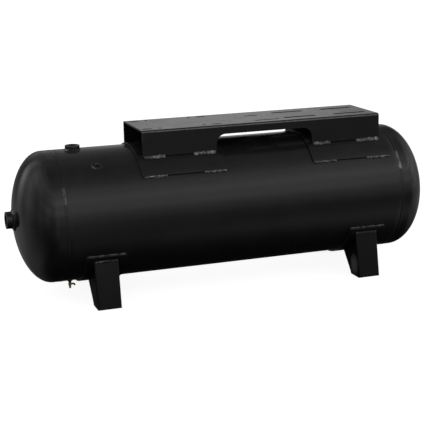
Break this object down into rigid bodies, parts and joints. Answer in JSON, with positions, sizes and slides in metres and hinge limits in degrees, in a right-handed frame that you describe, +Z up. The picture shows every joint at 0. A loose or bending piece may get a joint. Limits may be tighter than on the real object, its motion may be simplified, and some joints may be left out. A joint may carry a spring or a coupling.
{
  "type": "horizontal air receiver tank",
  "caption": "Horizontal welded steel air receiver with domed heads, four folded legs, a notched top deck for a pump and motor, threaded ports and a brass drain cock.",
  "frame": {"origin": "floor level under the middle of the vessel", "axes": "+Z up, +X along the vessel's axis away from the drain end, -Y the front side with the gauge port"},
  "size_m": [1.744, 0.5134, 0.647],
  "materials": {
    "vessel_enamel": "satin black enamel",
    "deck_enamel": "satin black enamel on plate",
    "leg_enamel": "satin black enamel on plate",
    "port_enamel": "satin black enamel on machined steel",
    "weld_enamel": "semi-gloss black enamel over weld bead",
    "cock_brass": "machined brass",
    "seal_rubber": "matt rubber"
  },
  "bodies": {
    "tank": {"deck": "deck_enamel", "deck_saddle_left": "deck_enamel", "deck_saddle_right": "deck_enamel", "deck_weld_front_a": "weld_enamel", "deck_weld_front_b": "weld_enamel", "deck_weld_front_c": "weld_enamel", "deck_weld_front_d": "weld_enamel", "deck_weld_rear_a": "weld_enamel", "deck_weld_rear_b": "weld_enamel", "deck_weld_rear_c": "weld_enamel", "deck_weld_rear_d": "weld_enamel", "drain_cock_body": "cock_brass", "drain_port": "port_enamel", "drain_port_weld": "weld_enamel", "end_port_left": "port_enamel", "end_port_right": "port_enamel", "end_port_weld_left": "weld_enamel", "end_port_weld_right": "weld_enamel", "foot_saddle_left": "leg_enamel", "foot_saddle_right": "leg_enamel", "foot_saddle_weld_front_left": "weld_enamel", "foot_saddle_weld_front_right": "weld_enamel", "foot_saddle_weld_rear_left": "weld_enamel", "foot_saddle_weld_rear_right": "weld_enamel", "gauge_port": "port_enamel", "gauge_port_weld": "weld_enamel", "girth_weld_left": "weld_enamel", "girth_weld_right": "weld_enamel", "head_left": "vessel_enamel", "head_right": "vessel_enamel", "leg_front_left": "leg_enamel", "leg_front_right": "leg_enamel", "leg_rear_left": "leg_enamel", "leg_rear_right": "leg_enamel", "leg_weld_front_left": "weld_enamel", "leg_weld_front_right": "weld_enamel", "leg_weld_rear_left": "weld_enamel", "leg_weld_rear_right": "weld_enamel", "long_seam_weld": "weld_enamel", "saddle_weld_front_a": "weld_enamel", "saddle_weld_front_b": "weld_enamel", "saddle_weld_front_c": "weld_enamel", "saddle_weld_front_d": "weld_enamel", "saddle_weld_rear_a": "weld_enamel", "saddle_weld_rear_b": "weld_enamel", "saddle_weld_rear_c": "weld_enamel", "saddle_weld_rear_d": "weld_enamel", "shell": "vessel_enamel", "top_port": "port_enamel", "top_port_weld": "weld_enamel"},
    "drain_seal": {"drain_cock_seal_ring": "seal_rubber"},
    "drain_handle": {"drain_cock_stem": "cock_brass", "drain_cock_wing": "cock_brass"}
  },
  "joints": [
    {"name": "drain_stem_travel", "type": "slide", "parent": "tank", "child": "drain_seal", "axis": [0, 0, -1], "range_m": [0, 0.002]},
    {"name": "drain_handle_turn", "type": "hinge", "parent": "drain_seal", "child": "drain_handle", "pos_m": [-0.637, 0, 0.0285], "axis": [0, 0, -1], "range_deg": [0, 540]}
  ],
  "couplings": [
    {"joint": "drain_stem_travel", "follows": "drain_handle_turn", "m_per_rad": 0.00020212}
  ]
}
